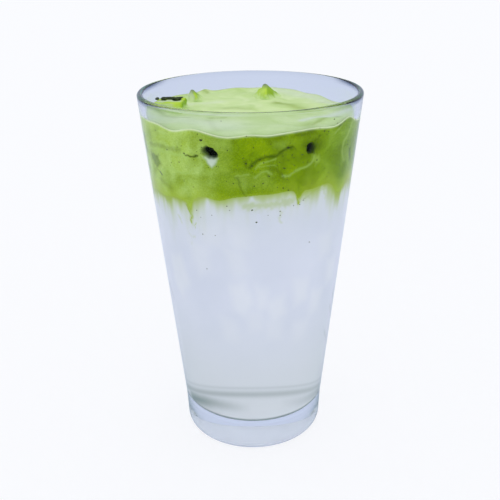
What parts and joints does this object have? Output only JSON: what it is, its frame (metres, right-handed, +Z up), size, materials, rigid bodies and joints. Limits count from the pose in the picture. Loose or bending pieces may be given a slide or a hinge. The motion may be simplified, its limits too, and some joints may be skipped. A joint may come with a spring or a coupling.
{
  "type": "iced matcha drink in a conical glass",
  "caption": "Conical drinking glass with a thick base, filled with a pale iced drink under a deep layer of green matcha cream, with ice breaking its surface.",
  "frame": {"origin": "centre of the foot, on the surface that the glass stands on", "axes": "+Z up along the glass's axis; the front of the drink faces -Y"},
  "size_m": [0.0878, 0.0878, 0.15],
  "materials": {
    "clear_glass": "clear, fire-polished",
    "pale_drink": "milky, translucent liquid",
    "matcha_cream": "smooth foam, satin",
    "coated_ice": "wet ice under a green film"
  },
  "bodies": {
    "root": {"tumbler": "clear_glass", "pale_drink": "pale_drink", "matcha_cream": "matcha_cream", "ice_back": "coated_ice", "ice_left": "coated_ice", "ice_side": "coated_ice"}
  },
  "joints": []
}
